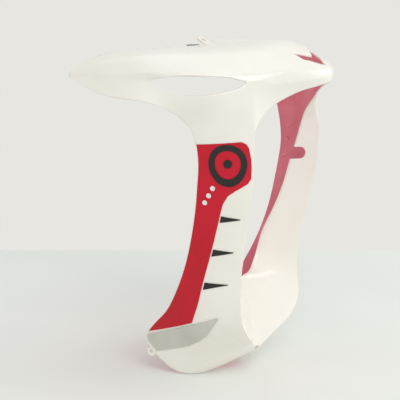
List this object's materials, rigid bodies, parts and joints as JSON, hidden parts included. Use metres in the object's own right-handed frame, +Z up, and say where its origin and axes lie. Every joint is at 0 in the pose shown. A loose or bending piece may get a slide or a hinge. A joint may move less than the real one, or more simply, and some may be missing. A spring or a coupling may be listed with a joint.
{
  "type": "scooter front spoiler",
  "caption": "Thin moulded front spoiler of a scooter: a pointed hood with swept wings and lamp eyes over a pair of legs that join in a prow.",
  "frame": {"origin": "centre of the bounding box at its lowest plane", "axes": "+X across to the right wing, +Y from the nose to the wing tips, +Z up"},
  "size_m": [0.364, 0.311, 0.4852],
  "materials": {
    "shell": "gloss white outside, plain pinkish red plastic inside",
    "red_film": "gloss vinyl film",
    "silver_film": "satin silver-grey vinyl film",
    "black_film": "gloss black vinyl film",
    "white_film": "gloss white vinyl film",
    "clip": "black sheet steel"
  },
  "bodies": {
    "root": {"spoiler_shell": "shell", "red_decal": "red_film", "silver_decal": "silver_film", "spike_decals": "black_film", "ring_decal": "black_film", "dot_decals": "white_film", "edge_clip": "clip"}
  },
  "joints": []
}
